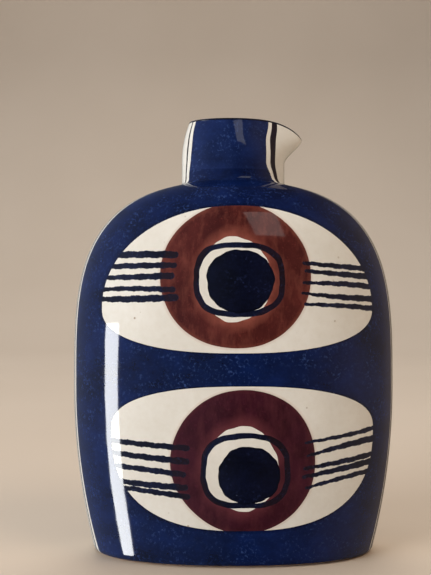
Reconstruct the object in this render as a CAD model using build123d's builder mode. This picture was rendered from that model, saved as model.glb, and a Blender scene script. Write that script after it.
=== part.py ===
"""A flattened bottle vase in painted, glazed earthenware, with a short neck and a pulled pouring lip.

Millimetres, +Z up, origin on the table under the middle of the foot. The painted front faces -Y and
the lip points along +X. The fired clay is three pieces luted together: base, wall and neck. The glaze
and each painted colour are thin layers let in flush with one another on the clay.
"""

import os
from math import cos, exp, pi, sin, sqrt

from build123d import *

# Driving dimensions of the outer, glazed shape.
HEIGHT = 174.0
HALF_WIDTH = 64.7  # at the belly, along X
HALF_DEPTH = 32.5  # at the belly, along Y
BELLY_HEIGHT = 66.5
FOOT_HALF_WIDTH = 56.2  # before the foot's edge is rounded
FOOT_HALF_DEPTH = 26.2
FOOT_ROUNDING = 2.6
SHOULDER_TOP_X = 148.7  # where the shoulder would close over the axis, seen from the front
SHOULDER_TOP_Y = 150.6  # the same, seen from the side
SHOULDER_POWERS_X = (3.37, 2.83)
SHOULDER_POWERS_Y = (4.2, 2.6)
SQUARENESS = 2.2  # superellipse power of every level section
NECK_HALF_WIDTH = 20.9
NECK_HALF_DEPTH = 13.6
RIM_NARROWING = 3.2
RIM_NARROWING_START = 158.0
NECK_BLEND = 9.0  # a higher power makes a tighter curve where the neck meets the shoulder

# The pulled lip, and the droop of the rim towards it.
LIP_REACH = 8.6
LIP_START = 156.5
LIP_FULL = 168.0
LIP_ANGLE = 0.42
LIP_PINCH = 0.14
DROOP_CENTRE_X = 10.0
DROOP_HALF_LENGTH = 20.0
DROOP_DEPTH = 12.0

# Layers.
GLAZE = 0.5
WALL = 3.6
LINING = 1.2  # white slip and clear glaze together
RIM_COAT = 1.0
FOOT_BARE = 1.0  # height of bare clay under the outer glaze
BASE_THICKNESS = 6.0
FOOT_RING_WIDTH = 5.0
FOOT_RECESS = 1.5
UNDER_GLAZE = 0.4
NECK_JOINT = 151.0
NECK_PAINT = 153.2  # the neck's own cobalt starts here

# Narrow side bands: half-widths along Y at these heights, on the lip's side and on the other.
BAND_HEIGHTS = (0.0, 138.0, 150.0, 153.0, 157.0, 163.0, 168.5, 178.0)
BAND_RIGHT = (9.6, 9.6, 9.8, 10.9, 11.5, 10.1, 8.1, 4.8)
BAND_LEFT = (10.2, 9.2, 7.7, 7.9, 8.6, 8.7, 7.6, 5.4)
BAND_LINE_RIGHT = (0.80, 0.92)  # the band's cobalt line, as shares of the band's half-width
BAND_LINE_LEFT = (0.77, 0.85)

# Painted faces, front and back: centre x, centre z, then half-sizes, all seen square on.
UPPER = {
    "panel": (1.2, 98.5, 52.0, 39.0, 16.5, 2.05, 2.4),  # width, rise above, drop below, two powers
    "ring": (0.3, 110.9, 28.3, 27.4),
    "hole": (0.1, 109.4, 13.8, 16.0),
    "dot": (2.0, 108.8, 12.6, 11.8),
    "outline": (1.6, 109.4, 16.0, 12.9),
    "left": (-60.0, -23.0, (118.0, 114.0, 110.2, 104.9, 101.9), 0.7),
    "right": (26.0, 60.0, (115.6, 112.6, 108.2, 104.3, 100.2), -2.6),
}
LOWER = {
    "panel": (3.3, 52.5, 50.2, 17.2, 37.4, 2.4, 2.6),
    "ring": (3.3, 41.4, 27.2, 27.2),
    "hole": (2.5, 38.8, 14.0, 16.2),
    "dot": (5.3, 36.4, 11.6, 10.9),
    "outline": (4.0, 38.0, 15.7, 13.2),
    "left": (-60.0, -18.5, (49.2, 44.4, 38.9, 34.2, 31.0), -2.6),
    "right": (26.5, 60.0, (48.4, 43.4, 38.6, 35.4, 31.2), 5.2),
}
OUTLINE_STROKE = 2.1
STROKE_WIDTH_INNER = 2.4
STROKE_WIDTH_OUTER = 1.15

SECTION_POINTS = 32
EVEN_STEPS = [step / SECTION_POINTS for step in range(SECTION_POINTS + 1)]
REACH = 80.0  # longer than any cut needs
ELLIPSE = 0.5523  # Bezier handle length that gives an ellipse
SECTIONS_FOOT = (0.0, 0.4, 1.3, 2.6)
SECTIONS_BODY = (2.6, 25.0, 48.0, 70.0, 90.0, 106.0, 118.0)
SECTIONS_SHOULDER = (118.0, 124.5, 130.5, 135.8, 140.2, 143.8, 146.6, 148.8, 151.0)
SECTIONS_NECK = (151.0, 155.0, 159.0, 163.0, 167.0, 171.0, 175.0)


def shoulder(height, belly, top, powers):
    """Half-size of the body alone at a height above the belly."""
    rise = (height - BELLY_HEIGHT) / (top - BELLY_HEIGHT)
    return belly * (1 - rise ** powers[0]) ** (1 / powers[1]) if rise < 1 else 0.0


def half_size(height, belly, foot, neck, top, powers, inset):
    """Half-width or half-depth of the section at a height, inset mm inside the glazed surface."""
    if height < BELLY_HEIGHT:
        drop = (BELLY_HEIGHT - height) / BELLY_HEIGHT
        size = belly - (belly - foot) * drop**2
        if height < FOOT_ROUNDING:
            size -= FOOT_ROUNDING - sqrt(FOOT_ROUNDING**2 - (FOOT_ROUNDING - height) ** 2)
        return size - inset
    narrowing = max(0.0, height - RIM_NARROWING_START) / (HEIGHT - RIM_NARROWING_START)
    neck_size = neck - RIM_NARROWING * narrowing**2 - inset
    body_size = shoulder(height, belly - inset, top - inset, powers)
    return (body_size**NECK_BLEND + neck_size**NECK_BLEND) ** (1 / NECK_BLEND)


def lip(height):
    """How far the pulled lip stands out of the neck at a height, from 0 to 1."""
    rise = min(1.0, max(0.0, (height - LIP_START) / (LIP_FULL - LIP_START)))
    return rise * rise * (3 - 2 * rise)


def section(height, inset):
    """Points round the level section at a height: a superellipse, drawn out into the lip at +X."""
    half_x = half_size(
        height, HALF_WIDTH, FOOT_HALF_WIDTH, NECK_HALF_WIDTH, SHOULDER_TOP_X, SHOULDER_POWERS_X, inset
    )
    half_y = half_size(
        height, HALF_DEPTH, FOOT_HALF_DEPTH, NECK_HALF_DEPTH, SHOULDER_TOP_Y, SHOULDER_POWERS_Y, inset
    )
    points = []
    for step in range(SECTION_POINTS):
        angle = 2 * pi * step / SECTION_POINTS
        scale = (abs(cos(angle)) ** SQUARENESS + abs(sin(angle)) ** SQUARENESS) ** (-1 / SQUARENESS)
        from_lip = min(angle, 2 * pi - angle)
        pull = lip(height) * exp(-((from_lip / LIP_ANGLE) ** 2))
        pinch = 1 - LIP_PINCH * lip(height) * exp(-(((from_lip - 2 * LIP_ANGLE) / LIP_ANGLE) ** 2))
        points.append((half_x * cos(angle) * scale + LIP_REACH * pull, half_y * sin(angle) * scale * pinch))
    return points


def envelope(inset):
    """The solid inside the vase's surface, inset by a distance, from the table to above the rim.

    Inside the clay the shoulder turns too sharply into the neck for a smooth loft, which swings out
    between its sections, so there it runs straight from each section to the next.
    """
    with BuildPart() as solid:
        for heights in (SECTIONS_FOOT, SECTIONS_BODY, SECTIONS_SHOULDER, SECTIONS_NECK):
            for height in heights:
                with BuildSketch(Plane.XY.offset(height)):
                    with BuildLine():
                        add(Edge.make_spline(section(height, inset), periodic=True, parameters=EVEN_STEPS))
                    make_face()
            loft(ruled=inset > GLAZE and heights is SECTIONS_SHOULDER)
    return solid.part


def slab(bottom, top):
    """Everything between two heights."""
    with BuildPart() as block:
        with Locations((0, 0, bottom)):
            Box(2 * REACH, 2 * REACH, top - bottom, align=(Align.CENTER, Align.CENTER, Align.MIN))
    return block.part


def half_space(side):
    """Everything in front of the middle plane (side 1) or behind it (side -1)."""
    with BuildPart() as block:
        with BuildSketch(Plane.XZ):
            Rectangle(2 * REACH, 4 * REACH + 100)
        extrude(amount=REACH * side)
    return block.part


def below_rim(drop):
    """Everything under the rim's own level, lowered by a distance. It droops towards the lip."""
    level = HEIGHT - drop
    end_x = DROOP_CENTRE_X + DROOP_HALF_LENGTH
    with BuildPart() as block:
        with BuildSketch(Plane.XZ):
            with BuildLine():
                flat = Line((-REACH, level), (DROOP_CENTRE_X, level))
                corner = (end_x, level - DROOP_DEPTH)
                Bezier(
                    flat @ 1,
                    (DROOP_CENTRE_X + ELLIPSE * DROOP_HALF_LENGTH, level),
                    (end_x, level - DROOP_DEPTH * (1 - ELLIPSE)),
                    corner,
                )
                Polyline(corner, (REACH, level - DROOP_DEPTH), (REACH, 0), (-REACH, 0), flat @ 0)
            make_face()
        extrude(amount=REACH, both=True)
    return block.part


def band_zone(widths, direction, share):
    """The zone of a side band, or of a share of its width, on the +X or -X side."""
    right_edge = [(width * share, height) for width, height in zip(widths, BAND_HEIGHTS)]
    left_edge = [(-across, height) for across, height in reversed(right_edge)]
    with BuildPart() as zone:
        with BuildSketch(Plane.YZ):
            with BuildLine():
                Polyline(*right_edge, *left_edge, close=True)
            make_face()
        extrude(amount=REACH * direction)
    return zone.part


def common(first, second):
    """What two solids share."""
    with BuildPart() as shared:
        add(first)
        add(second, mode=Mode.INTERSECT)
    return shared.part


def without(first, *others):
    """The first solid less the others."""
    with BuildPart() as rest:
        add(first)
        for other in others:
            add(other, mode=Mode.SUBTRACT)
    return rest.part


def oval_point(angle, centre_x, centre_z, half_x, half_z, power):
    """A point of a superellipse."""
    scale = (abs(cos(angle)) ** power + abs(sin(angle)) ** power) ** (-1 / power)
    return (centre_x + half_x * cos(angle) * scale, centre_z + half_z * sin(angle) * scale)


def panel_outline(centre_x, centre_z, half_x, rise, drop, power_above, power_below):
    """Points of a cream panel: one superellipse above its widest level, another below."""
    points = []
    for step in range(20):
        angle = 2 * pi * (step + 0.5) / 20
        above = sin(angle) > 0
        half_z = rise if above else drop
        power = power_above if above else power_below
        points.append(oval_point(angle, centre_x, centre_z, half_x, half_z, power))
    return points


def brushed_outline(centre_x, centre_z, half_x, half_z, power, wander, phase):
    """Points of a brushed oval: its edge wanders in and out a little, as a loaded brush does."""
    points = []
    for step in range(16):
        angle = 2 * pi * step / 16
        brush = 1 + wander * (sin(3 * angle + phase) + 0.6 * sin(5 * angle + 2 * phase))
        points.append(oval_point(angle, centre_x, centre_z, half_x * brush, half_z * brush, power))
    return points


def closed_face(points):
    """A sketch filled inside a closed smooth curve, seen square on from the front."""
    with BuildSketch(Plane.XZ) as filled:
        with BuildLine():
            Spline(*points, periodic=True)
        make_face()
    return filled.sketch


def stroke_row(outer_x, inner_x, heights, slope):
    """Five brush strokes in a row, each wider at its rounded inner end and rising by a slope."""
    toward = 1 if inner_x > outer_x else -1
    if toward < 0:
        outer_x, inner_x = inner_x, outer_x
    with BuildSketch(Plane.XZ) as row:
        for number, height in enumerate(heights):
            lean = slope * (1 + 0.12 * sin(2.1 * number))
            start = (outer_x + 0.8 * sin(1.7 * number), height)
            end = (inner_x + 0.8 * sin(1.7 * number + 1), height + lean)
            wide = STROKE_WIDTH_INNER / 2 * (1 + 0.16 * sin(3.1 * number + slope))
            narrow = STROKE_WIDTH_OUTER / 2 * (1 + 0.2 * sin(1.3 * number + 2 * slope))
            first, last = (narrow, wide) if toward > 0 else (wide, narrow)
            bow = 0.2 + 0.75 * sin(2.4 * number + slope)
            middle = ((start[0] + end[0]) / 2, (start[1] + end[1]) / 2 + bow)
            reach = 0.45 * (end[0] - start[0])
            with BuildLine():
                top = Bezier(
                    (start[0], start[1] + first),
                    (start[0] + reach, middle[1] + (first + last) / 2),
                    (end[0] - reach, middle[1] + (first + last) / 2),
                    (end[0], end[1] + last),
                )
                low = Bezier(
                    (end[0], end[1] - last),
                    (end[0] - reach, middle[1] - (first + last) / 2),
                    (start[0] + reach, middle[1] - (first + last) / 2),
                    (start[0], start[1] - first),
                )
                ThreePointArc(top @ 1, (end[0] + last, end[1]), low @ 0)
                ThreePointArc(low @ 1, (start[0] - first, start[1]), top @ 0)
            make_face()
    return row.sketch


def combined(base, cut_away=(), kept_within=()):
    """One flat region less others and kept within others."""
    with BuildSketch(Plane.XZ) as region:
        add(base)
        for other in cut_away:
            add(other, mode=Mode.SUBTRACT)
        for other in kept_within:
            add(other, mode=Mode.INTERSECT)
    return region.sketch


def through(region, side):
    """A flat region extended to the front (side 1) or the back (side -1)."""
    with BuildPart() as bar:
        add(region)
        extrude(amount=REACH, dir=(0, -side, 0))
    return bar.part


def painted_regions(layout, phase):
    """The flat, non-overlapping regions of one painted panel."""
    panel = closed_face(panel_outline(*layout["panel"]))
    dot = closed_face(brushed_outline(*layout["dot"], 2.1, 0.012, phase))
    eye_x, eye_z, eye_half_x, eye_half_z = layout["outline"]
    half = OUTLINE_STROKE / 2
    outer = closed_face(
        brushed_outline(eye_x, eye_z, eye_half_x + half, eye_half_z + half, 2.8, 0.006, phase + 1)
    )
    inner = closed_face(
        brushed_outline(eye_x, eye_z, eye_half_x - half, eye_half_z - half, 2.8, 0.009, phase + 1.4)
    )
    outline = combined(outer, (inner, dot))
    left = combined(stroke_row(*layout["left"]), (), (panel,))
    right = combined(stroke_row(*layout["right"]), (), (panel,))
    hole = closed_face(brushed_outline(*layout["hole"], 1.9, 0.012, phase + 2))
    disc = closed_face(brushed_outline(*layout["ring"], 2.0, 0.008, phase + 3))
    ring = combined(disc, (hole, outline, dot, left, right), (panel,))
    cream = combined(panel, (ring, outline, dot, left, right))
    return {
        "panel": panel, "dot": dot, "outline": outline, "left": left, "right": right,
        "ring": ring, "cream": cream,
    }  # fmt: skip


def save(part, label):
    """Label a finished piece and write it out."""
    part.label = label
    export_step(part, f"parts/{label}.step")


os.makedirs("parts", exist_ok=True)

# The nested surfaces every piece is cut between.
glaze_surface = envelope(0.0)
clay_surface = envelope(GLAZE)
cavity_surface = envelope(GLAZE + WALL)
lining_surface = envelope(GLAZE + WALL + LINING)
under_coat = below_rim(RIM_COAT)
under_rim = below_rim(0.0)

# The fired clay: base, wall and neck, with the cavity left open at the top.
with BuildPart() as cavity:
    add(cavity_surface)
    add(slab(BASE_THICKNESS, 2 * REACH), mode=Mode.INTERSECT)

with BuildPart() as clay_shell:
    add(clay_surface)
    add(cavity.part, mode=Mode.SUBTRACT)

with BuildPart() as foot_opening:
    add(envelope(GLAZE + FOOT_RING_WIDTH))
    add(slab(0, FOOT_RECESS), mode=Mode.INTERSECT)

with BuildPart() as clay_base:
    add(clay_shell.part)
    add(slab(0, BASE_THICKNESS), mode=Mode.INTERSECT)
    add(foot_opening.part, mode=Mode.SUBTRACT)

with BuildPart() as clay_wall:
    add(clay_shell.part)
    add(slab(BASE_THICKNESS, NECK_JOINT), mode=Mode.INTERSECT)

with BuildPart() as clay_neck:
    add(clay_shell.part)
    add(slab(NECK_JOINT, 2 * REACH), mode=Mode.INTERSECT)
    add(under_coat, mode=Mode.INTERSECT)

save(clay_base.part, "clay_base")
save(clay_wall.part, "clay_wall")
save(clay_neck.part, "clay_neck")

# Clear glaze inside, on the floor of the cavity and up to the rim.
with BuildPart() as lining_hollow:
    add(lining_surface)
    add(slab(BASE_THICKNESS + LINING, 2 * REACH), mode=Mode.INTERSECT)

with BuildPart() as lining_glaze:
    add(cavity.part)
    add(lining_hollow.part, mode=Mode.SUBTRACT)
    add(under_coat, mode=Mode.INTERSECT)

save(lining_glaze.part, "lining_glaze")

# Glaze in the recess under the base. The foot ring round it stays bare.
with BuildPart() as under_glaze:
    add(foot_opening.part)
    add(slab(FOOT_RECESS - UNDER_GLAZE, FOOT_RECESS), mode=Mode.INTERSECT)

save(under_glaze.part, "under_glaze")

# The dark line painted round the rim, over the top of the wall.
with BuildPart() as rim_line:
    add(glaze_surface)
    add(lining_hollow.part, mode=Mode.SUBTRACT)
    add(under_rim, mode=Mode.INTERSECT)
    add(under_coat, mode=Mode.SUBTRACT)

save(rim_line.part, "rim_line")

# The outer glaze, then its side bands with their thin cobalt lines.
with BuildPart() as outer_glaze:
    add(glaze_surface)
    add(clay_surface, mode=Mode.SUBTRACT)
    add(slab(FOOT_BARE, 2 * REACH), mode=Mode.INTERSECT)
    add(under_coat, mode=Mode.INTERSECT)

front_half = half_space(1)
back_half = half_space(-1)
bands = (
    ("right", BAND_RIGHT, 1, BAND_LINE_RIGHT),
    ("left", BAND_LEFT, -1, BAND_LINE_LEFT),
)
band_zones = []
for band_name, widths, direction, line_shares in bands:
    zone = band_zone(widths, direction, 1.0)
    line_zone = without(
        band_zone(widths, direction, line_shares[1]), band_zone(widths, direction, line_shares[0])
    )
    band_zones.append(zone)
    band_glaze = common(outer_glaze.part, zone)
    save(without(band_glaze, line_zone), f"band_{band_name}")
    lines = common(band_glaze, line_zone)
    save(common(lines, front_half), f"line_{band_name}_front")
    save(common(lines, back_half), f"line_{band_name}_back")

# The painted faces. The back carries the same arrangement as the front.
upper = painted_regions(UPPER, 0.4)
lower = painted_regions(LOWER, 2.1)
for face_name, side, half in (("front", 1, front_half), ("back", -1, back_half)):
    face_glaze = without(common(outer_glaze.part, half), *band_zones)
    save(common(face_glaze, slab(NECK_PAINT, 2 * REACH)), f"neck_cobalt_{face_name}")
    body_glaze = common(face_glaze, slab(0, NECK_PAINT))
    bars = [through(upper["panel"], side), through(lower["panel"], side)]
    save(without(body_glaze, *bars), f"ground_{face_name}")
    for panel_name, regions, bar in (("upper", upper, bars[0]), ("lower", lower, bars[1])):
        panel_glaze = common(body_glaze, bar)
        for paint in ("cream", "ring", "dot", "outline", "left", "right"):
            label = f"strokes_{paint}" if paint in ("left", "right") else paint
            save(common(panel_glaze, through(regions[paint], side)), f"{panel_name}_{label}_{face_name}")
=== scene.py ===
"""Looks for a painted, glazed bottle vase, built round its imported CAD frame.

The glazed skins are drawn again as fine meshes from the same surface the CAD is lofted on, so the
gloss runs smoothly over the joins between colours. Each new piece stands for one CAD node.
"""

from math import ceil, cos, pi, radians, sin

import bpy
import numpy as np
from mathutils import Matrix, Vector
from mathutils.geometry import delaunay_2d_cdt


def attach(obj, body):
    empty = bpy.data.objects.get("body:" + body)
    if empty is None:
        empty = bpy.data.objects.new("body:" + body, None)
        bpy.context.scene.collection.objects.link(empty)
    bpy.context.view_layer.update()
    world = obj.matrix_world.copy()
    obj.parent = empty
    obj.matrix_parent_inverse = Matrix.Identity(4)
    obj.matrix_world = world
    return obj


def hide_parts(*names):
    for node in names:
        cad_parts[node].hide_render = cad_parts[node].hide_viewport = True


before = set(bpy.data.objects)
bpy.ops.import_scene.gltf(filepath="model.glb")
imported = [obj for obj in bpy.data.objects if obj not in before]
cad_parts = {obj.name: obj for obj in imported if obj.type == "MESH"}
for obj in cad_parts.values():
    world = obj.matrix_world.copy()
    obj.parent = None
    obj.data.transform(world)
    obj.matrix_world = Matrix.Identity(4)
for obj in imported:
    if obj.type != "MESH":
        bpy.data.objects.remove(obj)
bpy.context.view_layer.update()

# The vase's own dimensions, in millimetres, as the CAD has them.
HEIGHT = 174.0
HALF_WIDTH, HALF_DEPTH, BELLY_HEIGHT = 64.7, 32.5, 66.5
FOOT_HALF_WIDTH, FOOT_HALF_DEPTH, FOOT_ROUNDING = 56.2, 26.2, 2.6
SHOULDER_TOP_X, SHOULDER_TOP_Y = 148.7, 150.6
SHOULDER_POWERS_X, SHOULDER_POWERS_Y = (3.37, 2.83), (4.2, 2.6)
SQUARENESS = 2.2
NECK_HALF_WIDTH, NECK_HALF_DEPTH = 20.9, 13.6
RIM_NARROWING, RIM_NARROWING_START, NECK_BLEND = 3.2, 158.0, 9.0
LIP_REACH, LIP_START, LIP_FULL, LIP_ANGLE, LIP_PINCH = 8.6, 156.5, 168.0, 0.42, 0.14
DROOP_CENTRE_X, DROOP_HALF_LENGTH, DROOP_DEPTH = 10.0, 20.0, 12.0
GLAZE, WALL, LINING, RIM_COAT, FOOT_BARE = 0.5, 3.6, 1.2, 1.0, 1.0
BASE_THICKNESS, NECK_JOINT, NECK_PAINT = 6.0, 151.0, 153.2
BAND_HEIGHTS = (0.0, 138.0, 150.0, 153.0, 157.0, 163.0, 168.5, 178.0)
BAND_RIGHT = (9.6, 9.6, 9.8, 10.9, 11.5, 10.1, 8.1, 4.8)
BAND_LEFT = (10.2, 9.2, 7.7, 7.9, 8.6, 8.7, 7.6, 5.4)
BAND_LINE_RIGHT, BAND_LINE_LEFT = (0.80, 0.92), (0.77, 0.85)
OUTLINE_STROKE, STROKE_WIDTH_INNER, STROKE_WIDTH_OUTER = 2.1, 2.4, 1.15
UPPER = {
    "panel": (1.2, 98.5, 52.0, 39.0, 16.5, 2.05, 2.4),
    "ring": (0.3, 110.9, 28.3, 27.4),
    "hole": (0.1, 109.4, 13.8, 16.0),
    "dot": (2.0, 108.8, 12.6, 11.8),
    "outline": (1.6, 109.4, 16.0, 12.9),
    "left": (-60.0, -23.0, (118.0, 114.0, 110.2, 104.9, 101.9), 0.7),
    "right": (26.0, 60.0, (115.6, 112.6, 108.2, 104.3, 100.2), -2.6),
}
LOWER = {
    "panel": (3.3, 52.5, 50.2, 17.2, 37.4, 2.4, 2.6),
    "ring": (3.3, 41.4, 27.2, 27.2),
    "hole": (2.5, 38.8, 14.0, 16.2),
    "dot": (5.3, 36.4, 11.6, 10.9),
    "outline": (4.0, 38.0, 15.7, 13.2),
    "left": (-60.0, -18.5, (49.2, 44.4, 38.9, 34.2, 31.0), -2.6),
    "right": (26.5, 60.0, (48.4, 43.4, 38.6, 35.4, 31.2), 5.2),
}
PHASES = {"upper": 0.4, "lower": 2.1}  # where each panel's brush edges start to wander

SKIN_TOP = HEIGHT - RIM_COAT  # the coloured glazes end under the rim's dark bead
FULL_SHOULDER = 118.0  # the body starts to close in above this
COLUMNS = 288  # mesh columns round the vase
ROW_STEP = 1.35  # mesh row spacing along the surface
LINE_STEP = 1.1  # spacing of the points along a side band's edge
ACROSS = 45.0  # millimetres per radian in the unrolled sheet
SKIN = 0.42  # thickness of the drawn glaze, inside the CAD's own
FAR = 9.0  # stands for any distance too long to matter to the paint
STROKE_ROOM = 12.0  # no stroke reaches further than this above or below its middle
RIM_STEPS = 14
RIM_ROUNDNESS = 0.6  # a lower power makes a fuller bead


# ---- The surface, as in the CAD, for whole arrays at once ----

def half_size(height, belly, foot, neck, top, powers, inset):
    """Half-width or half-depth of the level section at each height."""
    height = np.asarray(height, float)
    drop = np.clip((BELLY_HEIGHT - height) / BELLY_HEIGHT, 0, None)
    low = belly - (belly - foot) * drop**2 - inset
    edge = np.clip(FOOT_ROUNDING - height, 0, FOOT_ROUNDING)
    low = low - FOOT_ROUNDING + np.sqrt(FOOT_ROUNDING**2 - edge**2)
    narrowing = np.clip(height - RIM_NARROWING_START, 0, None) / (HEIGHT - RIM_NARROWING_START)
    neck_size = neck - RIM_NARROWING * narrowing**2 - inset
    rise = np.clip((height - BELLY_HEIGHT) / (top - inset - BELLY_HEIGHT), 0, 1)
    body = (belly - inset) * (1 - rise ** powers[0]) ** (1 / powers[1])
    high = (body**NECK_BLEND + neck_size**NECK_BLEND) ** (1 / NECK_BLEND)
    return np.where(height < BELLY_HEIGHT, low, high)


def half_x(height, inset=0.0):
    return half_size(
        height, HALF_WIDTH, FOOT_HALF_WIDTH, NECK_HALF_WIDTH, SHOULDER_TOP_X, SHOULDER_POWERS_X, inset
    )


def half_y(height, inset=0.0):
    return half_size(
        height, HALF_DEPTH, FOOT_HALF_DEPTH, NECK_HALF_DEPTH, SHOULDER_TOP_Y, SHOULDER_POWERS_Y, inset
    )


def surface(angle, height, inset=0.0):
    """Points of the surface: angle 0 is at the lip, -pi/2 at the middle of the front."""
    angle, height = np.broadcast_arrays(np.asarray(angle, float), np.asarray(height, float))
    scale = (np.abs(np.cos(angle)) ** SQUARENESS + np.abs(np.sin(angle)) ** SQUARENESS) ** (-1 / SQUARENESS)
    rise = np.clip((height - LIP_START) / (LIP_FULL - LIP_START), 0, 1)
    lip = rise * rise * (3 - 2 * rise)
    around = np.abs((angle + pi) % (2 * pi) - pi)
    pull = lip * np.exp(-((around / LIP_ANGLE) ** 2))
    pinch = 1 - LIP_PINCH * lip * np.exp(-(((around - 2 * LIP_ANGLE) / LIP_ANGLE) ** 2))
    x = half_x(height, inset) * np.cos(angle) * scale + LIP_REACH * pull
    y = half_y(height, inset) * np.sin(angle) * scale * pinch
    return np.stack([x, y, height], axis=-1)


def rim_level(x):
    """Height of the rim at an x: level, then drooping in a quarter ellipse towards the lip."""
    along = np.clip((x - DROOP_CENTRE_X) / DROOP_HALF_LENGTH, 0, 0.999)
    return HEIGHT - DROOP_DEPTH * (1 - np.sqrt(1 - along**2))


def rim_height(angle, drop, inset=0.0):
    """Height at which the surface meets the rim, lowered by a distance."""
    height = np.full_like(np.asarray(angle, float), HEIGHT - drop)
    for _ in range(12):
        height = 0.5 * height + 0.5 * (rim_level(surface(angle, height, inset)[..., 0]) - drop)
    return height


def skin_height(angle, level):
    """Real height for a level of the unrolled skin, which follows the drooping rim at its top."""
    share = np.clip((level - NECK_JOINT) / (SKIN_TOP - NECK_JOINT), 0, 1)
    on_neck = NECK_JOINT + share * (rim_height(angle, RIM_COAT) - NECK_JOINT)
    return np.where(level > NECK_JOINT, on_neck, level)


# ---- The painted regions, laid out as in the CAD, with rougher brush edges ----

def brush_edge(angle, wander, phase, rough):
    """A brushed oval's edge, as a share of its size: it wanders slowly, and roughly with each dab."""
    slow = np.sin(3 * angle + phase) + 0.6 * np.sin(5 * angle + 2 * phase)
    dabs = np.sin(7 * angle + 3 * phase) + 0.8 * np.sin(11 * angle + phase)
    dabs = dabs + 0.6 * np.sin(19 * angle + 2 * phase)
    return 1 + wander * slow + rough * dabs


def oval_radius_test(x, z, centre_x, centre_z, size_x, size_z, power, wander, phase, rough):
    """Below 1 inside a brushed oval and above 1 outside it."""
    across, up = (x - centre_x) / size_x, (z - centre_z) / size_z
    reach = (np.abs(across) ** power + np.abs(up) ** power) ** (1 / power)
    return reach / brush_edge(np.arctan2(up, across), wander, phase, rough)


def oval_points(centre_x, centre_z, size_x, size_z, power, wander, phase, rough):
    """Points round a brushed oval."""
    angle = np.linspace(0, 2 * pi, 260, endpoint=False)
    scale = (np.abs(np.cos(angle)) ** power + np.abs(np.sin(angle)) ** power) ** (-1 / power)
    brush = brush_edge(angle, wander, phase, rough)
    x = centre_x + size_x * np.cos(angle) * scale * brush
    return x, centre_z + size_z * np.sin(angle) * scale * brush


def panel_test(x, z, centre_x, centre_z, size_x, rise, drop, power_above, power_below):
    """Below 1 inside a cream panel."""
    across = np.abs(x - centre_x) / size_x
    above = z > centre_z
    up = np.abs(z - centre_z) / np.where(above, rise, drop)
    power = np.where(above, power_above, power_below)
    return (across**power + up**power) ** (1 / power)


def panel_points(centre_x, centre_z, size_x, rise, drop, power_above, power_below):
    """Points round a cream panel."""
    angle = np.linspace(0, 2 * pi, 440, endpoint=False)
    above = np.sin(angle) > 0
    power = np.where(above, power_above, power_below)
    scale = (np.abs(np.cos(angle)) ** power + np.abs(np.sin(angle)) ** power) ** (-1 / power)
    x = centre_x + size_x * np.cos(angle) * scale
    return x, centre_z + np.where(above, rise, drop) * np.sin(angle) * scale


def bezier(p0, p1, p2, p3, count):
    """Points along a cubic Bezier curve."""
    t = np.linspace(0, 1, count)[:, None]
    p0, p1, p2, p3 = (np.array(p, float) for p in (p0, p1, p2, p3))
    return (1 - t) ** 3 * p0 + 3 * t * (1 - t) ** 2 * p1 + 3 * t**2 * (1 - t) * p2 + t**3 * p3


def stroke_outlines(outer_x, inner_x, heights, slope):
    """Outlines of a row of five brush strokes, fuller than in the CAD, with a dry brush's uneven edge."""
    toward = 1 if inner_x > outer_x else -1
    if toward < 0:
        outer_x, inner_x = inner_x, outer_x
    rows = []
    for number, height in enumerate(heights):
        lean = slope * (1 + 0.12 * sin(2.1 * number))
        start = (outer_x + 0.8 * sin(1.7 * number), height)
        end = (inner_x + 0.8 * sin(1.7 * number + 1), height + lean)
        wide = STROKE_WIDTH_INNER / 2 * (1 + 0.16 * sin(3.1 * number + slope))
        narrow = STROKE_WIDTH_OUTER / 2 * (1 + 0.2 * sin(1.3 * number + 2 * slope))
        first, last = (narrow, wide) if toward > 0 else (wide, narrow)
        middle = (start[1] + end[1]) / 2 + 0.2 + 0.75 * sin(2.4 * number + slope)
        reach = 0.45 * (end[0] - start[0])
        half = (first + last) / 2 * (1.28 + 0.12 * sin(1.7 * number + slope))
        top = bezier((start[0], start[1] + first), (start[0] + reach, middle + half),
                     (end[0] - reach, middle + half), (end[0], end[1] + last), 60)
        low = bezier((end[0], end[1] - last), (end[0] - reach, middle - half),
                     (start[0] + reach, middle - half), (start[0], start[1] - first), 60)
        top[:, 1] += (0.13 * np.sin(0.9 * top[:, 0] + number) + 0.08 * np.sin(2.6 * top[:, 0] + 2 * number)
                      + 0.06 * np.sin(5.7 * top[:, 0] + number))
        low[:, 1] += (0.13 * np.sin(1.1 * low[:, 0] + 3 * number) + 0.08 * np.sin(3.1 * low[:, 0] + number)
                      + 0.06 * np.sin(6.3 * low[:, 0] + 2 * number))
        turn = np.linspace(pi / 2, -pi / 2, 12)[1:-1]
        right_cap = np.stack([end[0] + last * np.cos(turn), end[1] + last * np.sin(turn)], 1)
        left_cap = np.stack([start[0] - first * np.cos(turn), start[1] - first * np.sin(turn)], 1)
        rows.append(np.concatenate([top, right_cap, low, left_cap]))
    return rows


def inside_polygon(x, z, polygon):
    """Whether each point is inside a closed outline."""
    inside = np.zeros(x.shape, bool)
    px, pz = polygon[:, 0], polygon[:, 1]
    qx, qz = np.roll(px, -1), np.roll(pz, -1)
    for ax, az, bx, bz in zip(px, pz, qx, qz):
        if az == bz:
            continue
        crosses = (az > z) != (bz > z)
        inside ^= crosses & (x < (bx - ax) * (z - az) / (bz - az) + ax)
    return inside


def edge_distance(x, z, polygons):
    """Distance to the nearest outline."""
    best = np.full(x.shape, FAR)
    for polygon in polygons:
        for px, pz in polygon[::2]:
            best = np.minimum(best, np.hypot(x - px, z - pz))
    return best


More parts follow.
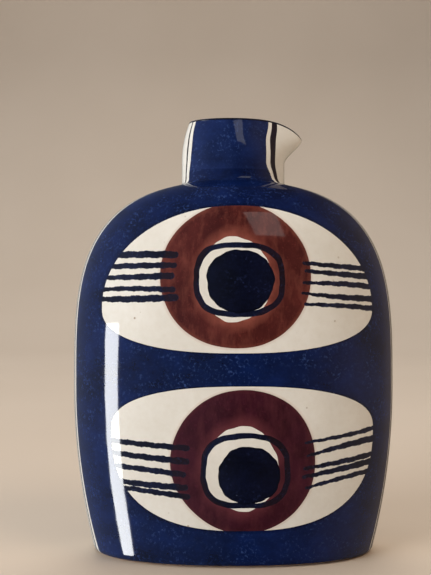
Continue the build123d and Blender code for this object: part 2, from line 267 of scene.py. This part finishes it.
BANDS = (("right", BAND_RIGHT, BAND_LINE_RIGHT), ("left", BAND_LEFT, BAND_LINE_LEFT))
layouts = {"upper": UPPER, "lower": LOWER}
drawn = {}
for name, layout in layouts.items():
    phase = PHASES[name]
    eye_x, eye_z, eye_half_x, eye_half_z = layout["outline"]
    pen = OUTLINE_STROKE / 2
    drawn[name] = {
        "disc": (*layout["ring"], 2.0, 0.008, phase + 3, 0.0008),
        "hole": (*layout["hole"], 1.9, 0.012, phase + 2, 0.007),
        "dot": (*layout["dot"], 2.1, 0.012, phase, 0.010),
        "outer": (eye_x, eye_z, eye_half_x + pen, eye_half_z + pen, 2.8, 0.006, phase + 1, 0.0050),
        "inner": (eye_x, eye_z, eye_half_x - pen, eye_half_z - pen, 2.8, 0.009, phase + 1.4, 0.0065),
        "left": stroke_outlines(*layout["left"]),
        "right": stroke_outlines(*layout["right"]),
    }


def band_half_width(height, widths):
    """Half-width of a side band, eased between its stated heights so its edge has no corners."""
    total = 0.0
    for shift in (-2.4, -1.2, 0.0, 1.2, 2.4):
        total = total + 0.2 * np.interp(height + shift, BAND_HEIGHTS, widths)
    return total


def classify(point, back):
    """The CAD node each point of the skin belongs to."""
    x, y, z = point[:, 0], point[:, 1], point[:, 2]
    face = np.where(back, "back", "front")
    names = np.char.add("ground_", face)
    names = np.where(z > NECK_PAINT, np.char.add("neck_cobalt_", face), names)
    for name, layout in layouts.items():
        shapes = drawn[name]
        panel = panel_test(x, z, *layout["panel"]) < 1
        disc = oval_radius_test(x, z, *shapes["disc"]) < 1
        hole = oval_radius_test(x, z, *shapes["hole"]) < 1
        dot = oval_radius_test(x, z, *shapes["dot"]) < 1
        outer = oval_radius_test(x, z, *shapes["outer"]) < 1
        inner = oval_radius_test(x, z, *shapes["inner"]) < 1
        label = np.full(x.shape, "cream_", dtype="<U40")
        label = np.where(disc & ~hole, "ring_", label)
        label = np.where(outer & ~inner, "outline_", label)
        label = np.where(dot, "dot_", label)
        for side in ("left", "right"):
            for polygon in shapes[side]:
                near = panel & (np.abs(z - polygon[:, 1].mean()) < STROKE_ROOM)
                hit = np.zeros(x.shape, bool)
                hit[near] = inside_polygon(x[near], z[near], polygon)
                label = np.where(hit, f"strokes_{side}_", label)
        full = np.char.add(np.char.add(f"{name}_", label), face)
        names = np.where(panel, full, names)
    for side, widths, line in BANDS:
        share = np.abs(y) / band_half_width(z, widths)
        here = (x > 0) if side == "right" else (x < 0)
        names = np.where(here & (share < 1), f"band_{side}", names)
        on_line = here & (share < line[1]) & (share > line[0])
        names = np.where(on_line, np.char.add(f"line_{side}_", face), names)
    return names


# ---- Unrolling: angle across, distance along the surface upwards ----

levels = np.concatenate([np.linspace(FOOT_BARE, 3, 60), np.linspace(3, SKIN_TOP, 6000)[1:]])
profile = np.stack([half_x(levels), half_y(levels), levels], 1)
along = np.concatenate([[0], np.cumsum(np.linalg.norm(np.diff(profile, axis=0), axis=1))])
row_count = int(ceil(along[-1] / ROW_STEP))
row_along = np.linspace(0, along[-1], row_count + 1)
# Two more rows keep the rounded edge of the foot round.
row_along = np.sort(np.concatenate([row_along, np.interp([1.3, 1.8], levels, along)]))
column_angle = -pi + 2 * pi * np.arange(COLUMNS + 1) / COLUMNS


def level_of(distance):
    """Level at a distance along the surface."""
    return np.interp(distance, along, levels)


def along_of(level):
    """Distance along the surface at a level."""
    return np.interp(level, levels, along)


def front_angle(x, z):
    """Angle on the front at which the section reaches an x."""
    u = np.clip(np.abs(x) / half_x(z), 0, 0.985)
    v = (1 - u**SQUARENESS) ** (1 / SQUARENESS)
    return np.arctan2(-v, np.sign(x) * u)


def band_angle(level, widths, share, side):
    """Angle, from 0 to pi/2 off the band's own side, at which it ends at a level."""
    low, high = np.zeros_like(level), np.full_like(level, pi / 2)
    for _ in range(40):
        middle = (low + high) / 2
        angle = middle if side == "right" else pi - middle
        point = surface(angle, skin_height(angle, level))
        beyond = point[:, 1] > share * band_half_width(point[:, 2], widths)
        high = np.where(beyond, middle, high)
        low = np.where(beyond, low, middle)
    return (low + high) / 2


sheet_points, sheet_edges = [], []


def add_line(points, closed):
    """A line of the unrolled sheet that the mesh's edges have to follow."""
    start = len(sheet_points)
    sheet_points.extend((float(p[0]), float(p[1])) for p in points)
    count = len(points)
    sheet_edges.extend((start + i, start + i + 1) for i in range(count - 1))
    if closed:
        sheet_edges.append((start + count - 1, start))


for distance in row_along:
    for angle in column_angle:
        sheet_points.append((ACROSS * float(angle), float(distance)))
edge_columns = COLUMNS + 1
for row in range(len(row_along) - 1):
    sheet_edges.append((row * edge_columns, (row + 1) * edge_columns))
    sheet_edges.append((row * edge_columns + COLUMNS, (row + 1) * edge_columns + COLUMNS))
top_row = (len(row_along) - 1) * edge_columns
for column in range(COLUMNS):
    sheet_edges.append((column, column + 1))
    sheet_edges.append((top_row + column, top_row + column + 1))

line_levels = np.concatenate(
    [np.linspace(FOOT_BARE, 3, 5), level_of(np.arange(6.0, along[-1], LINE_STEP)), [SKIN_TOP]]
)
for side, widths, line in BANDS:
    for share in (1.0, *line):
        turn = band_angle(line_levels, widths, share, side)
        for sign in (1, -1):
            angle = sign * (turn if side == "right" else pi - turn)
            add_line(np.stack([ACROSS * angle, along_of(line_levels)], 1), False)
crease_level = NECK_JOINT + (NECK_PAINT - NECK_JOINT) * (SKIN_TOP - NECK_JOINT) / (
    rim_height(column_angle, RIM_COAT) - NECK_JOINT
)
add_line(np.stack([ACROSS * column_angle, along_of(crease_level)], 1), False)


def add_outline(x, z):
    """A closed outline seen square on, drawn on the front of the sheet and on the back."""
    angle = front_angle(x, z)
    distance = along_of(z)
    for sign in (1, -1):
        add_line(np.stack([ACROSS * angle * sign, distance], 1), True)


for name, layout in layouts.items():
    shapes = drawn[name]
    add_outline(*panel_points(*layout["panel"]))
    for key in ("disc", "hole", "dot", "outer", "inner"):
        add_outline(*oval_points(*shapes[key]))
    for side in ("left", "right"):
        for polygon in shapes[side]:
            add_outline(polygon[:, 0], polygon[:, 1])

flat_points, _, flat_faces, _, _, _ = delaunay_2d_cdt(
    [Vector(point) for point in sheet_points], sheet_edges, [], 0, 1e-5
)
flat = np.array([[p.x, p.y] for p in flat_points])
triangles = np.array([face for face in flat_faces if len(face) == 3])
angle, level = flat[:, 0] / ACROSS, level_of(flat[:, 1])
height = skin_height(angle, level)
outer = surface(angle, height)

# The two edges of the unrolled sheet meet at the back of the left side.
closed = np.where(np.abs(angle - pi) < 1e-6, angle - 2 * pi, angle)
keys = {}
merged = np.empty(len(angle), int)
for index, key in enumerate(zip(np.round(closed, 6), np.round(flat[:, 1], 4))):
    merged[index] = keys.setdefault(key, index)
middle = flat[triangles].mean(axis=1)
middle_angle, middle_level = middle[:, 0] / ACROSS, level_of(middle[:, 1])
middle_point = surface(middle_angle, skin_height(middle_angle, middle_level))
region = classify(middle_point, middle_angle > 0)
triangles = merged[triangles]
distinct = (
    (triangles[:, 0] != triangles[:, 1])
    & (triangles[:, 1] != triangles[:, 2])
    & (triangles[:, 0] != triangles[:, 2])
)
triangles, region = triangles[distinct], region[distinct]


def surface_normal(angle, level):
    """Outward unit normals of the skin."""
    turn, rise = 1e-3, 0.02
    ahead = surface(angle + turn, skin_height(angle + turn, level))
    behind = surface(angle - turn, skin_height(angle - turn, level))
    around = ahead - behind
    low, high = np.maximum(level - rise, FOOT_BARE), np.minimum(level + rise, SKIN_TOP)
    upward = surface(angle, skin_height(angle, high)) - surface(angle, skin_height(angle, low))
    normal = np.cross(around, upward)
    return normal / np.linalg.norm(normal, axis=-1, keepdims=True)


normals = surface_normal(angle, level)
face_normals = np.cross(outer[triangles[:, 1]] - outer[triangles[:, 0]],
                        outer[triangles[:, 2]] - outer[triangles[:, 0]])
backwards = (face_normals * normals[triangles[:, 0]]).sum(axis=1) < 0
triangles[backwards] = triangles[backwards][:, ::-1]


# ---- Pieces ----

def make_mesh(name, points, faces, smooth_normals=None, attributes=None):
    """A mesh object in metres from millimetre points."""
    mesh = bpy.data.meshes.new(name)
    mesh.from_pydata((np.asarray(points) * 0.001).tolist(), [], [tuple(map(int, face)) for face in faces])
    mesh.validate()
    mesh.shade_smooth()
    for key, values in (attributes or {}).items():
        layer = mesh.attributes.new(key, "FLOAT", "POINT")
        layer.data.foreach_set("value", np.asarray(values, dtype=np.float32))
    if smooth_normals is not None:
        mesh.normals_split_custom_set_from_vertices(np.asarray(smooth_normals).tolist())
    piece = bpy.data.objects.new(name, mesh)
    bpy.context.scene.collection.objects.link(piece)
    return piece


def edge_attributes(node, x, z):
    """Distances in mm from a region's own brush edges, for the paint's darker and lighter borders."""
    rim = np.full(x.shape, FAR)
    for name in layouts:
        if not node.startswith(name):
            continue
        shapes = drawn[name]
        size = 0.5 * (shapes["disc"][2] + shapes["disc"][3])
        hole_size, dot_size = 15, 12
        outer_gap = np.abs(1 - oval_radius_test(x, z, *shapes["disc"])) * size
        inner_gap = np.abs(oval_radius_test(x, z, *shapes["hole"]) - 1) * hole_size
        if "_ring_" in node:
            return {"edge": outer_gap, "inner": inner_gap}
        if "_dot_" in node:
            gap = np.abs(1 - oval_radius_test(x, z, *shapes["dot"])) * dot_size
            return {"edge": gap, "inner": rim}
        if "_strokes_" in node:
            on_ring = (1 - oval_radius_test(x, z, *shapes["disc"])) * size
            polygons = shapes["left"] if "left" in node else shapes["right"]
            return {"edge": edge_distance(x, z, polygons), "inner": on_ring}
        if "_outline_" in node:
            on_ring = (oval_radius_test(x, z, *shapes["hole"]) - 1) * hole_size
            return {"edge": rim, "inner": on_ring}
        if "_cream_" in node:
            return {"edge": np.minimum(outer_gap, FAR), "inner": rim}
    if node.startswith("ground"):
        panel_size = 30
        gaps = [np.abs(panel_test(x, z, *layout["panel"]) - 1) * panel_size for layout in layouts.values()]
        return {"edge": np.minimum(*gaps), "inner": rim}
    return {"edge": rim, "inner": rim}


def skin_piece(node):
    """One glazed region as a closed, thin shell."""
    chosen = triangles[region == node]
    used, compact = np.unique(chosen, return_inverse=True)
    compact = compact.reshape(-1, 3)
    count = len(used)
    top, normal = outer[used], normals[used]
    under = top - SKIN * normal
    directed = {}
    for a, b, c in compact:
        for pair in ((a, b), (b, c), (c, a)):
            directed[pair] = directed.get(pair, 0) + 1
    walls = [(b, a, a + count, b + count) for a, b in directed if (b, a) not in directed]
    faces = [*compact.tolist(), *(compact[:, ::-1] + count).tolist(), *walls]
    edges = edge_attributes(node, top[:, 0], top[:, 2])
    both = {key: np.concatenate([values, values]) for key, values in edges.items()}
    points, directions = np.concatenate([top, under]), np.concatenate([normal, -normal])
    return make_mesh(f"glaze_{node}", points, faces, directions, both)


def ring_faces(rings, columns):
    """Quads between successive closed rings of points."""
    faces = []
    for ring in range(rings - 1):
        for column in range(columns):
            right = (column + 1) % columns
            faces.append((ring * columns + column, ring * columns + right,
                          (ring + 1) * columns + right, (ring + 1) * columns + column))
    return faces


skins = {}
for node in sorted(set(region.tolist())):
    skins[node] = skin_piece(node)

# The dark rim: a rounded bead over the top of the wall, from the outer glaze to the lining.
rim_angle = column_angle[:-1]
mouth = GLAZE + WALL + LINING
outer_foot = surface(rim_angle, rim_height(rim_angle, RIM_COAT))
inner_foot = surface(rim_angle, rim_height(rim_angle, RIM_COAT, mouth), mouth)
rim_rings = []
for step in range(RIM_STEPS + 1):
    turn = pi * step / RIM_STEPS
    share = (1 - cos(turn)) / 2
    ring = outer_foot * (1 - share) + inner_foot * share
    ring[:, 2] += RIM_COAT * sin(turn) ** RIM_ROUNDNESS
    rim_rings.append(ring)
under_ring = (outer_foot + inner_foot) / 2
under_ring[:, 2] += 0.05  # just clear of the clay
rim_rings.append(under_ring)
rim_faces = ring_faces(len(rim_rings), COLUMNS)
last = (len(rim_rings) - 1) * COLUMNS
for column in range(COLUMNS):
    right = (column + 1) % COLUMNS
    rim_faces.append((last + column, last + right, right, column))
rim = make_mesh("glaze_rim_line", np.concatenate(rim_rings), rim_faces)

# The clear glaze inside, down the neck and over the floor of the cavity.
inside_levels = np.concatenate(
    [np.linspace(BASE_THICKNESS + LINING, FULL_SHOULDER, 40), np.linspace(FULL_SHOULDER, SKIN_TOP, 46)[1:]]
)
inside_rings, lining_rings = [], []
rise = rim_height(rim_angle, RIM_COAT, mouth)
for number, inside_level in enumerate(inside_levels):
    share = np.clip((inside_level - NECK_JOINT) / (SKIN_TOP - NECK_JOINT), 0, 1)
    z = np.where(inside_level > NECK_JOINT, NECK_JOINT + share * (rise - NECK_JOINT), inside_level)
    inside_rings.append(surface(rim_angle, z, mouth))
    z_outer = np.where(number == 0, BASE_THICKNESS + 0.02, z)
    lining_rings.append(surface(rim_angle, z_outer, mouth - LINING * 0.9))
lining_points = np.concatenate(
    [np.mean(inside_rings[0], axis=0)[None], *inside_rings, *lining_rings[::-1],
     np.mean(lining_rings[0], axis=0)[None]]
)
rings = 2 * len(inside_levels)
lining_faces = [tuple(index + 1 for index in face)[::-1] for face in ring_faces(rings, COLUMNS)]
centre_low = len(lining_points) - 1
last = 1 + (rings - 1) * COLUMNS
for column in range(COLUMNS):
    right = (column + 1) % COLUMNS
    lining_faces.append((0, 1 + column, 1 + right))
    lining_faces.append((centre_low, last + right, last + column))
lining = make_mesh("glaze_lining", lining_points, lining_faces)


# ---- Materials ----

class Tree:
    """A few helpers for building one procedural material."""

    def __init__(self, name):
        self.material = bpy.data.materials.new(name)
        self.material.use_nodes = True
        self.nodes = self.material.node_tree.nodes
        self.links = self.material.node_tree.links
        self.shader = self.nodes["Principled BSDF"]
        self.place = self.nodes.new("ShaderNodeTexCoord").outputs["Object"]

    def link(self, source, target):
        self.links.new(source, target)

    def stretched(self, x, y, z):
        mapping = self.nodes.new("ShaderNodeMapping")
        mapping.inputs["Scale"].default_value = (x, y, z)
        self.link(self.place, mapping.inputs["Vector"])
        return mapping.outputs["Vector"]

    def noise(self, scale, detail=3.0, roughness=0.5, vector=None):
        node = self.nodes.new("ShaderNodeTexNoise")
        node.inputs["Scale"].default_value = scale
        node.inputs["Detail"].default_value = detail
        node.inputs["Roughness"].default_value = roughness
        self.link(vector or self.place, node.inputs["Vector"])
        return node.outputs["Fac"]

    def cells(self, scale):
        node = self.nodes.new("ShaderNodeTexVoronoi")
        node.inputs["Scale"].default_value = scale
        self.link(self.place, node.inputs["Vector"])
        return node.outputs["Distance"]

    def ramp(self, source, *stops):
        node = self.nodes.new("ShaderNodeValToRGB")
        elements = node.color_ramp.elements
        while len(elements) < len(stops):
            elements.new(0.5)
        for element, (position, color) in zip(elements, stops):
            element.position = position
            element.color = (*color, 1.0) if isinstance(color, tuple) else (color, color, color, 1.0)
        self.link(source, node.inputs["Fac"])
        return node.outputs["Color"]

    def mix(self, factor, first, second, blend="MIX"):
        node = self.nodes.new("ShaderNodeMix")
        node.data_type = "RGBA"
        node.blend_type = blend
        node.clamp_factor = True
        for value, socket in ((factor, node.inputs[0]), (first, node.inputs[6]), (second, node.inputs[7])):
            if isinstance(value, tuple):
                socket.default_value = (*value, 1.0)
            elif isinstance(value, (int, float)):
                socket.default_value = value
            else:
                self.link(value, socket)
        return node.outputs[2]

    def math(self, operation, first, second=0.0):
        node = self.nodes.new("ShaderNodeMath")
        node.operation = operation
        for value, socket in ((first, node.inputs[0]), (second, node.inputs[1])):
            if isinstance(value, (int, float)):
                socket.default_value = value
            else:
                self.link(value, socket)
        return node.outputs[0]

    def attribute(self, name):
        node = self.nodes.new("ShaderNodeAttribute")
        node.attribute_name = name
        return node.outputs["Fac"]

    def gloss(self, ripple=0.00015, peel=0.0000022):
        """A wet-looking glaze: slow ripples and a fine orange peel in the normal."""
        waves = self.noise(46.0, 2.0, 0.45)
        fine = self.noise(850.0, 2.0, 0.5)
        first = self.nodes.new("ShaderNodeBump")
        first.inputs["Distance"].default_value = ripple
        self.link(waves, first.inputs["Height"])
        second = self.nodes.new("ShaderNodeBump")
        second.inputs["Distance"].default_value = peel
        self.link(fine, second.inputs["Height"])
        self.link(first.outputs["Normal"], second.inputs["Normal"])
        self.link(second.outputs["Normal"], self.shader.inputs["Normal"])
        self.shader.inputs["IOR"].default_value = 1.52
        rough = self.ramp(self.noise(160.0, 3.0), (0.3, 0.045), (0.75, 0.085))
        self.link(rough, self.shader.inputs["Roughness"])


def cobalt_material(name, deep, bright, speck, speck_amount):
    """A blue glaze in uneven washes, with pale specks and pinholes, darker where it pools at an edge."""
    tree = Tree(name)
    washes = tree.noise(42.0, 6.0, 0.68, tree.stretched(1.0, 1.0, 1.5))
    between = tuple((d + b) / 2 for d, b in zip(deep, bright))
    base = tree.ramp(washes, (0.32, deep), (0.52, between), (0.72, bright))
    grains = tree.ramp(tree.noise(900.0, 2.0, 0.7), (0.55, 0.0), (0.72, 1.0))
    patches = tree.ramp(tree.noise(110.0, 3.0), (0.42, 0.15), (0.66, 1.0))
    amount = tree.math("MULTIPLY", tree.math("MULTIPLY", grains, patches), speck_amount)
    color = tree.mix(amount, base, speck)
    pinholes = tree.ramp(tree.cells(260.0), (0.03, 1.0), (0.06, 0.0))
    some = tree.ramp(tree.noise(60.0, 2.0), (0.6, 0.0), (0.66, 0.55))
    color = tree.mix(tree.math("MULTIPLY", pinholes, some), color, (0.16, 0.2, 0.32))
    edge = tree.ramp(tree.math("DIVIDE", tree.attribute("edge"), 1.2), (0.0, 1.0), (1.0, 0.0))
    color = tree.mix(tree.math("MULTIPLY", edge, 0.55), color, tuple(c * 0.45 for c in deep))
    tree.link(color, tree.shader.inputs["Base Color"])
    tree.gloss()
    return tree.material


def cream_material():
    """Cream glaze, softly clouded, with brown iron specks and a stain next to the red."""
    tree = Tree("cream glaze")
    clouds = tree.noise(38.0, 4.0, 0.55)
    base = tree.ramp(
        clouds, (0.3, (0.67, 0.655, 0.605)), (0.55, (0.73, 0.72, 0.675)), (0.8, (0.77, 0.765, 0.73))
    )
    mottling = tree.ramp(tree.noise(420.0, 3.0, 0.6), (0.4, 0.0), (0.7, 0.16))
    color = tree.mix(mottling, base, (0.56, 0.51, 0.42))
    dots = tree.ramp(tree.cells(190.0), (0.05, 1.0), (0.10, 0.0))
    some = tree.ramp(tree.noise(75.0, 2.0), (0.5, 0.0), (0.62, 0.75))
    color = tree.mix(tree.math("MULTIPLY", dots, some), color, (0.25, 0.17, 0.10))
    stain = tree.ramp(tree.math("DIVIDE", tree.attribute("edge"), 1.1), (0.0, 1.0), (1.0, 0.0))
    color = tree.mix(tree.math("MULTIPLY", stain, 0.32), color, (0.48, 0.27, 0.20))
    tree.link(color, tree.shader.inputs["Base Color"])
    tree.gloss()
    return tree.material


def red_material(name, dark, middle, halo):
    """A red glaze in washes and streaks, paler at its edges where it thins."""
    tree = Tree(name)
    washes = tree.noise(62.0, 5.0, 0.6)
    base = tree.ramp(washes, (0.33, dark), (0.66, middle))
    upright = tree.noise(300.0, 4.0, 0.65, tree.stretched(1.0, 1.0, 0.35))
    streaks = tree.ramp(upright, (0.45, 0.0), (0.75, 0.35))
    color = tree.mix(streaks, base, halo)
    outer_edge = tree.ramp(tree.math("DIVIDE", tree.attribute("edge"), 1.6), (0.0, 0.75), (1.0, 0.0))
    from_hole = tree.math("DIVIDE", tree.attribute("inner"), 4.6)
    inner_edge = tree.ramp(from_hole, (0.0, 0.9), (0.45, 0.5), (1.0, 0.0))
    wander = tree.ramp(tree.noise(120.0, 3.0), (0.35, 0.35), (0.6, 1.0))
    color = tree.mix(tree.math("MULTIPLY", outer_edge, wander), color, tuple(0.6 * h for h in halo))
    color = tree.mix(tree.math("MULTIPLY", inner_edge, wander), color, halo)
    grains = tree.ramp(tree.noise(1000.0, 2.0, 0.7), (0.58, 0.0), (0.75, 0.35))
    color = tree.mix(grains, color, tuple(min(1, 2.2 * m) for m in middle))
    tree.link(color, tree.shader.inputs["Base Color"])
    tree.gloss()
    return tree.material


def brush_material():
    """Thin navy brushwork: dense in the middle of a stroke, browner where it crosses the red."""
    tree = Tree("navy brush glaze")
    washes = tree.noise(90.0, 4.0, 0.6)
    base = tree.ramp(washes, (0.35, (0.0028, 0.0040, 0.013)), (0.7, (0.0065, 0.010, 0.036)))
    thin = tree.ramp(tree.math("DIVIDE", tree.attribute("edge"), 0.6), (0.0, 0.6), (0.8, 0.0))
    color = tree.mix(thin, base, (0.020, 0.028, 0.070))
    over_red = tree.ramp(tree.attribute("inner"), (0.0, 0.0), (0.9, 0.55))
    color = tree.mix(over_red, color, (0.016, 0.006, 0.006))
    grains = tree.ramp(tree.noise(900.0, 2.0, 0.7), (0.56, 0.0), (0.74, 0.35))
    color = tree.mix(grains, color, (0.018, 0.028, 0.08))
    tree.link(color, tree.shader.inputs["Base Color"])
    tree.gloss()
    return tree.material


def plain_glaze_material(name, low, high, ripple=0.00006):
    """A glaze of one colour, clouded, with small dark dots."""
    tree = Tree(name)
    color = tree.ramp(tree.noise(85.0, 4.0, 0.6), (0.35, low), (0.7, high))
    dots = tree.ramp(tree.cells(300.0), (0.03, 0.5), (0.07, 0.0))
    color = tree.mix(dots, color, tuple(0.5 * c for c in low))
    tree.link(color, tree.shader.inputs["Base Color"])
    tree.gloss(ripple=ripple)
    return tree.material


def clay_material():
    """Bare fired clay: matt and gritty."""
    tree = Tree("fired clay")
    color = tree.ramp(tree.noise(120.0, 5.0, 0.6), (0.3, (0.42, 0.27, 0.17)), (0.7, (0.55, 0.38, 0.25)))
    grog = tree.ramp(tree.cells(700.0), (0.06, 1.0), (0.14, 0.0))
    color = tree.mix(tree.math("MULTIPLY", grog, 0.6), color, (0.22, 0.13, 0.08))
    tree.link(color, tree.shader.inputs["Base Color"])
    bump = tree.nodes.new("ShaderNodeBump")
    bump.inputs["Distance"].default_value = 0.00012
    tree.link(tree.noise(1400.0, 4.0, 0.7), bump.inputs["Height"])
    tree.link(bump.outputs["Normal"], tree.shader.inputs["Normal"])
    rough = tree.ramp(tree.noise(300.0, 2.0), (0.3, 0.72), (0.7, 0.88))
    tree.link(rough, tree.shader.inputs["Roughness"])
    return tree.material


cobalt = cobalt_material(
    "cobalt glaze", (0.0009, 0.0034, 0.021), (0.0040, 0.0150, 0.092), (0.032, 0.068, 0.22), 0.75
)
dot_navy = cobalt_material(
    "navy dot glaze", (0.0012, 0.0018, 0.0060), (0.0032, 0.0052, 0.0225), (0.012, 0.019, 0.062), 0.7
)
neck_blue = cobalt_material(
    "neck cobalt glaze", (0.0028, 0.0070, 0.036), (0.0095, 0.0255, 0.125), (0.035, 0.075, 0.24), 0.75
)
cream = cream_material()
oxblood = red_material(
    "oxblood glaze", (0.034, 0.0060, 0.0065), (0.086, 0.0175, 0.0150), (0.27, 0.080, 0.058)
)
plum = red_material(
    "plum glaze", (0.027, 0.0050, 0.0095), (0.046, 0.0085, 0.0180), (0.12, 0.030, 0.038)
)
brush = brush_material()
rim_black = plain_glaze_material("rim glaze", (0.003, 0.004, 0.010), (0.008, 0.012, 0.035), 0.00002)
clear = plain_glaze_material("clear glaze", (0.58, 0.53, 0.44), (0.70, 0.66, 0.57))
clay = clay_material()


def material_for(node):
    """The look of a skin's node, and its material slot."""
    if node.startswith("ground"):
        return cobalt, "cobalt_glaze"
    if node.startswith("neck_cobalt"):
        return neck_blue, "cobalt_glaze"
    if node.startswith("band") or "_cream_" in node:
        return cream, "cream_glaze"
    if "_ring_" in node:
        return (oxblood, "oxblood_glaze") if node.startswith("upper") else (plum, "plum_glaze")
    if "_dot_" in node:
        return dot_navy, "navy_glaze"
    return brush, "navy_glaze"


def dress(piece, node, material, slot):
    """Give a drawn piece its material, hide the CAD node it stands for, and hang it under the root."""
    piece.data.materials.clear()
    piece.data.materials.append(material)
    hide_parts(node)
    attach(piece, "root")


for node, piece in skins.items():
    dress(piece, node, *material_for(node))
dress(rim, "rim_line", rim_black, "rim_glaze")
dress(lining, "lining_glaze", clear, "clear_glaze")
for node, material in (
    ("clay_base", clay),
    ("clay_wall", clay),
    ("clay_neck", clay),
    ("under_glaze", clear),
):
    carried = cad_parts[node]
    carried.data.materials.clear()
    carried.data.materials.append(material)


# ---- Studio ----

# A pale floor that sweeps up into the backdrop behind, so no horizon shows.
FLOOR_FRONT, SWEEP_START, SWEEP_RADIUS = -4.0, 1.0, 0.9  # metres
BACKDROP_TOP, FLOOR_HALF_WIDTH = 4.0, 5.0
sweep = [(FLOOR_FRONT, 0.0), (SWEEP_START, 0.0)]
for turn in range(5, 90, 5):
    back = SWEEP_START + SWEEP_RADIUS * sin(radians(turn))
    sweep.append((back, SWEEP_RADIUS - SWEEP_RADIUS * cos(radians(turn))))
sweep += [(SWEEP_START + SWEEP_RADIUS, SWEEP_RADIUS), (SWEEP_START + SWEEP_RADIUS, BACKDROP_TOP)]
floor_points = [(x, y, z) for y, z in sweep for x in (-FLOOR_HALF_WIDTH, FLOOR_HALF_WIDTH)]
floor_faces = [(2 * n, 2 * n + 1, 2 * n + 3, 2 * n + 2) for n in range(len(sweep) - 1)]
floor_mesh = bpy.data.meshes.new("floor")
floor_mesh.from_pydata(floor_points, [], floor_faces)
floor_mesh.polygons.foreach_set("use_smooth", [True] * len(floor_mesh.polygons))
floor = bpy.data.objects.new("floor", floor_mesh)
floor.visible_glossy = False  # the floor doesn't show mirrored in the glaze
bpy.context.scene.collection.objects.link(floor)
paper = Tree("pale floor")
paper.link(paper.ramp(paper.noise(3.0, 2.0), (0.3, (0.57, 0.49, 0.41)), (0.7, (0.60, 0.52, 0.44))),
           paper.shader.inputs["Base Color"])
paper.shader.inputs["Roughness"].default_value = 0.85
paper.shader.inputs["Specular IOR Level"].default_value = 0.2
floor_mesh.materials.append(paper.material)

# Round the vase the room is dark in front, pale on its left and dim and warm on its right.
world = bpy.data.worlds.new("studio")
bpy.context.scene.world = world
world.use_nodes = True
sky = world.node_tree
toward = sky.nodes.new("ShaderNodeSeparateXYZ")
sky.links.new(sky.nodes.new("ShaderNodeTexCoord").outputs["Generated"], toward.inputs[0])
halved = sky.nodes.new("ShaderNodeMath")
halved.operation = "MULTIPLY_ADD"
halved.inputs[1].default_value = 0.5
halved.inputs[2].default_value = 0.5
sky.links.new(toward.outputs["X"], halved.inputs[0])
room = sky.nodes.new("ShaderNodeValToRGB")
tones = room.color_ramp
for place, tone in (
    (0.0, (0.34, 0.36, 0.40)),
    (0.28, (0.14, 0.15, 0.17)),
    (0.47, (0.085, 0.09, 0.10)),
    (0.53, (0.030, 0.026, 0.024)),
    (0.72, (0.085, 0.066, 0.055)),
    (0.95, (0.34, 0.26, 0.21)),
):
    stop = tones.elements.new(place)
    stop.color = (*tone, 1.0)
tones.elements.remove(tones.elements[0])
tones.elements.remove(tones.elements[-1])
sky.links.new(halved.outputs[0], room.inputs["Fac"])
sky.links.new(room.outputs["Color"], sky.nodes["Background"].inputs["Color"])


def softbox(name, place, target, width, length, power, color, use):
    """A softbox hidden from the camera. It only lights surfaces ("matt") or only shows mirrored in them."""
    data = bpy.data.lights.new(name, "AREA")
    data.shape = "RECTANGLE"
    data.size, data.size_y = width, length
    data.energy = power
    data.color = color
    lamp = bpy.data.objects.new(name, data)
    lamp.location = place
    lamp.visible_camera = False
    lamp.visible_glossy = use == "mirrored"
    lamp.visible_diffuse = use == "matt"
    lamp.rotation_euler = (Vector(target) - Vector(place)).to_track_quat("-Z", "Y").to_euler()
    bpy.context.scene.collection.objects.link(lamp)


softbox("key", (-1.2, -0.85, 0.50), (0.0, 0.0, 0.09), 0.9, 0.9, 22.5,
        (1.0, 0.99, 0.97), "matt")
softbox("fill", (0.45, -0.35, 0.75), (0.0, 0.0, 0.09), 0.4, 0.4, 2.6,
        (1.0, 0.80, 0.60), "matt")
softbox("rear", (0.0, 1.0, 1.40), (0.0, 0.0, 0.09), 1.5, 1.0, 9.0,
        (1.0, 0.96, 0.90), "matt")
softbox("overhead", (0.0, 0.6, 2.2), (0.0, 0.6, 0.0), 2.0, 2.0, 18.0,
        (1.0, 0.97, 0.92), "matt")
softbox("tall_window", (-0.1426, -0.0790, 0.004), (-0.05, -0.022, 0.004), 0.030, 0.180, 0.30,
        (0.96, 0.98, 1.0), "mirrored")
softbox("high_window", (0.19, -0.62, 0.70), (0.015, -0.03, 0.127), 0.20, 0.34, 0.22,
        (1.0, 0.98, 0.95), "mirrored")

bpy.context.scene.view_settings.view_transform = "Standard"

camera_data = bpy.data.cameras.new("camera")
camera_data.sensor_fit = "VERTICAL"
camera_data.sensor_height = 36.0
camera_data.lens = 52.0
camera_data.clip_start = 0.01
camera = bpy.data.objects.new("camera", camera_data)
camera.location = (-0.0072, -0.340, 0.1064)
camera.rotation_euler = (radians(90), 0, 0)
bpy.context.scene.collection.objects.link(camera)
bpy.context.scene.camera = camera
